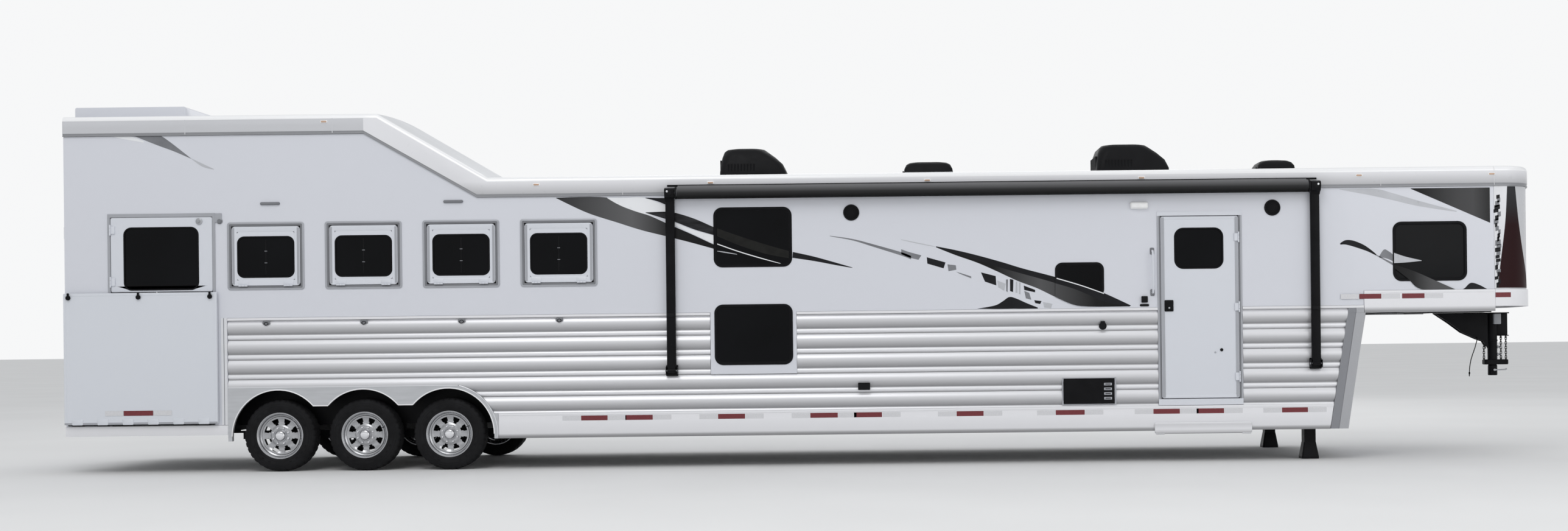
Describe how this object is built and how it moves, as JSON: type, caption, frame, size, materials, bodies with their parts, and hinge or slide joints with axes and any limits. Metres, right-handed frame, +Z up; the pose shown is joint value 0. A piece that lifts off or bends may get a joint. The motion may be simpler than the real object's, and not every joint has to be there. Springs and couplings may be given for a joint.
{
  "type": "livestock trailer",
  "caption": "Long gooseneck horse trailer with slanted stalls behind drop-down feed doors, a side ramp, a living quarters with an awning, and torsion axles with spinning wheels.",
  "frame": {"origin": "on the ground under the middle of the trailer", "axes": "+X to the nose, -Y the ramp and entry door side, +Z up"},
  "size_m": [15.2278, 2.6038, 3.76],
  "materials": {
    "white_skin": "gloss",
    "silver_slats": "satin",
    "rail_metal": "satin",
    "bright_trim": "polished",
    "frame_steel": "satin",
    "black_trim": "satin",
    "dark_glass": "gloss",
    "roof_skin": "satin",
    "unit_black": "matte",
    "floor": "rough",
    "wall_board": "satin",
    "tyre": "matte",
    "rim": "machined",
    "hub_black": "rough",
    "galvanised": "galvanised",
    "awning_fabric": "woven",
    "lamp_amber": "gloss",
    "fittings": "satin",
    "cable": "matte",
    "divider_paint": "satin"
  },
  "bodies": {
    "trailer": {"chassis_frame": "galvanised", "floor_boards": "floor", "body_walls": "white_skin", "side_slats": "silver_slats", "body_rails": "rail_metal", "fender_panels": "rail_metal", "roof_panels": "roof_skin", "roof_trims": "bright_trim", "rear_frame": "rail_metal", "opening_frames": "black_trim", "window_panes": "dark_glass", "bulkheads": "wall_board", "coupler_neck": "frame_steel", "safety_chains": "galvanised", "breakaway_cable": "cable", "breakaway_pin": "cable", "roof_units": "unit_black", "lamps": "lamp_amber", "wall_fittings": "fittings"},
    "side_ramp": {"side_ramp": "white_skin"},
    "entry_door": {"entry_door": "white_skin"},
    "door_paddle": {"door_paddle": "fittings"},
    "entry_step": {"entry_step": "black_trim"},
    "upper_door": {"upper_door": "white_skin"},
    "feed_door_1": {"feed_door_1": "black_trim"},
    "feed_door_2": {"feed_door_2": "black_trim"},
    "feed_door_3": {"feed_door_3": "black_trim"},
    "feed_door_4": {"feed_door_4": "black_trim"},
    "awning_arms": {"awning_arms": "unit_black"},
    "awning_roller": {"awning_roller": "galvanised", "awning_canopy": "awning_fabric"},
    "landing_legs": {"landing_legs": "galvanised"},
    "coupler_ram": {"coupler_ram": "frame_steel"},
    "coupler_latch": {"coupler_latch": "galvanised"},
    "axle_1": {"axle_1": "hub_black"},
    "axle_2": {"axle_2": "hub_black"},
    "axle_3": {"axle_3": "hub_black"},
    "ramp_latch_1": {"ramp_latch_1": "galvanised"},
    "ramp_latch_2": {"ramp_latch_2": "galvanised"},
    "ramp_latch_3": {"ramp_latch_3": "galvanised"},
    "vent_lid_1": {"vent_lid_1": "unit_black"},
    "vent_lid_2": {"vent_lid_2": "unit_black"},
    "heater_door": {"heater_door": "black_trim"},
    "rear_door_right": {"rear_door_right": "white_skin"},
    "rear_door_left": {"rear_door_left": "white_skin"},
    "divider_1": {"divider_1": "divider_paint"},
    "divider_2": {"divider_2": "divider_paint"},
    "divider_3": {"divider_3": "divider_paint"},
    "wheel_r1": {"tyre_r1": "tyre", "rim_r1": "rim"},
    "wheel_r2": {"tyre_r2": "tyre", "rim_r2": "rim"},
    "wheel_r3": {"tyre_r3": "tyre", "rim_r3": "rim"},
    "wheel_l1": {"tyre_l1": "tyre", "rim_l1": "rim"},
    "wheel_l2": {"tyre_l2": "tyre", "rim_l2": "rim"},
    "wheel_l3": {"tyre_l3": "tyre", "rim_l3": "rim"}
  },
  "joints": [
    {"name": "side_ramp_hinge", "type": "hinge", "parent": "trailer", "child": "side_ramp", "pos_m": [-6.791, -1.246, 0.495], "axis": [1, 0, 0], "range_deg": [0, 110]},
    {"name": "entry_door_hinge", "type": "hinge", "parent": "trailer", "child": "entry_door", "pos_m": [4.391, -1.228, 1.57], "axis": [0, 0, 1], "range_deg": [0, 150]},
    {"name": "door_paddle_hinge", "type": "hinge", "parent": "entry_door", "child": "door_paddle", "pos_m": [3.677, -1.229, 1.624], "axis": [-1, 0, 0], "range_deg": [0, 35], "stiffness_Nm_per_rad": 0.6},
    {"name": "entry_step_hinge", "type": "hinge", "parent": "trailer", "child": "entry_step", "pos_m": [4.01, -1.237, 0.285], "axis": [1, 0, 0], "range_deg": [0, 90]},
    {"name": "upper_door_hinge", "type": "hinge", "parent": "trailer", "child": "upper_door", "pos_m": [-7.101, -1.228, 2.2], "axis": [0, 0, -1], "range_deg": [0, 110]},
    {"name": "feed_door_1_hinge", "type": "hinge", "parent": "trailer", "child": "feed_door_1", "pos_m": [-5.52, -1.228, 1.898], "axis": [1, 0, 0], "range_deg": [0, 165]},
    {"name": "feed_door_2_hinge", "type": "hinge", "parent": "trailer", "child": "feed_door_2", "pos_m": [-4.525, -1.228, 1.898], "axis": [1, 0, 0], "range_deg": [0, 165]},
    {"name": "feed_door_3_hinge", "type": "hinge", "parent": "trailer", "child": "feed_door_3", "pos_m": [-3.53, -1.228, 1.898], "axis": [1, 0, 0], "range_deg": [0, 165]},
    {"name": "feed_door_4_hinge", "type": "hinge", "parent": "trailer", "child": "feed_door_4", "pos_m": [-2.535, -1.228, 1.898], "axis": [1, 0, 0], "range_deg": [0, 165]},
    {"name": "awning_arms_hinge", "type": "hinge", "parent": "trailer", "child": "awning_arms", "pos_m": [1.885, -1.264, 0.985], "axis": [1, 0, 0], "range_deg": [0, 55]},
    {"name": "awning_roller_spin", "type": "hinge", "parent": "awning_arms", "child": "awning_roller", "pos_m": [1.885, -1.296, 2.786], "axis": [1, 0, 0], "range_deg": [0, 1980]},
    {"name": "landing_legs_slide", "type": "slide", "parent": "trailer", "child": "landing_legs", "axis": [0, 0, 1], "range_m": [0, 0.2]},
    {"name": "coupler_height_slide", "type": "slide", "parent": "trailer", "child": "coupler_ram", "axis": [0, 0, 1], "range_m": [-0.15, 0]},
    {"name": "coupler_latch_hinge", "type": "hinge", "parent": "coupler_ram", "child": "coupler_latch", "pos_m": [7.385, -0.066, 0.873], "axis": [0, 1, 0], "range_deg": [0, 60]},
    {"name": "axle_1_suspension", "type": "hinge", "parent": "trailer", "child": "axle_1", "pos_m": [-5.258, 0, 0.395], "axis": [0, 1, 0], "range_deg": [-12, 12], "stiffness_Nm_per_rad": 60000, "springref_deg": -2.32},
    {"name": "axle_2_suspension", "type": "hinge", "parent": "trailer", "child": "axle_2", "pos_m": [-4.393, 0, 0.395], "axis": [0, 1, 0], "range_deg": [-12, 12], "stiffness_Nm_per_rad": 60000, "springref_deg": -2.32},
    {"name": "axle_3_suspension", "type": "hinge", "parent": "trailer", "child": "axle_3", "pos_m": [-3.528, 0, 0.395], "axis": [0, 1, 0], "range_deg": [-12, 12], "stiffness_Nm_per_rad": 60000, "springref_deg": -2.32},
    {"name": "ramp_latch_1_turn", "type": "hinge", "parent": "side_ramp", "child": "ramp_latch_1", "pos_m": [-7.515, -1.275, 1.793], "axis": [0, 1, 0], "range_deg": [0, 90]},
    {"name": "ramp_latch_2_turn", "type": "hinge", "parent": "side_ramp", "child": "ramp_latch_2", "pos_m": [-6.802, -1.275, 1.793], "axis": [0, 1, 0], "range_deg": [0, 90]},
    {"name": "ramp_latch_3_turn", "type": "hinge", "parent": "side_ramp", "child": "ramp_latch_3", "pos_m": [-6.075, -1.275, 1.793], "axis": [0, 1, 0], "range_deg": [0, 90]},
    {"name": "vent_lid_1_hinge", "type": "hinge", "parent": "trailer", "child": "vent_lid_1", "pos_m": [0.998, 0, 3.083], "axis": [0, -1, 0], "range_deg": [0, 60]},
    {"name": "vent_lid_2_hinge", "type": "hinge", "parent": "trailer", "child": "vent_lid_2", "pos_m": [4.811, 0, 3.083], "axis": [0, -1, 0], "range_deg": [0, 60]},
    {"name": "heater_door_hinge", "type": "hinge", "parent": "trailer", "child": "heater_door", "pos_m": [2.596, -1.228, 0.727], "axis": [0, 0, -1], "range_deg": [0, 100]},
    {"name": "rear_door_right_hinge", "type": "hinge", "parent": "trailer", "child": "rear_door_right", "pos_m": [-7.625, -1.09, 1.612], "axis": [0, 0, 1], "range_deg": [0, 110]},
    {"name": "rear_door_left_hinge", "type": "hinge", "parent": "trailer", "child": "rear_door_left", "pos_m": [-7.625, 1.09, 1.612], "axis": [0, 0, -1], "range_deg": [0, 110]},
    {"name": "divider_1_hinge", "type": "hinge", "parent": "trailer", "child": "divider_1", "pos_m": [-3.278, 1.14, 1.55], "axis": [0, 0, -1], "range_deg": [0, 44]},
    {"name": "divider_2_hinge", "type": "hinge", "parent": "trailer", "child": "divider_2", "pos_m": [-2.283, 1.14, 1.55], "axis": [0, 0, -1], "range_deg": [0, 44]},
    {"name": "divider_3_hinge", "type": "hinge", "parent": "trailer", "child": "divider_3", "pos_m": [-1.288, 1.14, 1.55], "axis": [0, 0, -1], "range_deg": [0, 44]},
    {"name": "wheel_r1_spin", "type": "hinge", "parent": "axle_1", "child": "wheel_r1", "pos_m": [-5.408, -1.087, 0.365], "axis": [0, 1, 0], "continuous": true},
    {"name": "wheel_r2_spin", "type": "hinge", "parent": "axle_2", "child": "wheel_r2", "pos_m": [-4.543, -1.087, 0.365], "axis": [0, 1, 0], "continuous": true},
    {"name": "wheel_r3_spin", "type": "hinge", "parent": "axle_3", "child": "wheel_r3", "pos_m": [-3.678, -1.087, 0.365], "axis": [0, 1, 0], "continuous": true},
    {"name": "wheel_l1_spin", "type": "hinge", "parent": "axle_1", "child": "wheel_l1", "pos_m": [-5.408, 1.087, 0.365], "axis": [0, 1, 0], "continuous": true},
    {"name": "wheel_l2_spin", "type": "hinge", "parent": "axle_2", "child": "wheel_l2", "pos_m": [-4.543, 1.087, 0.365], "axis": [0, 1, 0], "continuous": true},
    {"name": "wheel_l3_spin", "type": "hinge", "parent": "axle_3", "child": "wheel_l3", "pos_m": [-3.678, 1.087, 0.365], "axis": [0, 1, 0], "continuous": true}
  ],
  "couplings": [
    {"joint": "awning_roller_spin", "follows": "awning_arms_hinge", "ratio": 36},
    {"joint": "divider_2_hinge", "follows": "divider_1_hinge", "ratio": 1},
    {"joint": "divider_3_hinge", "follows": "divider_1_hinge", "ratio": 1}
  ]
}
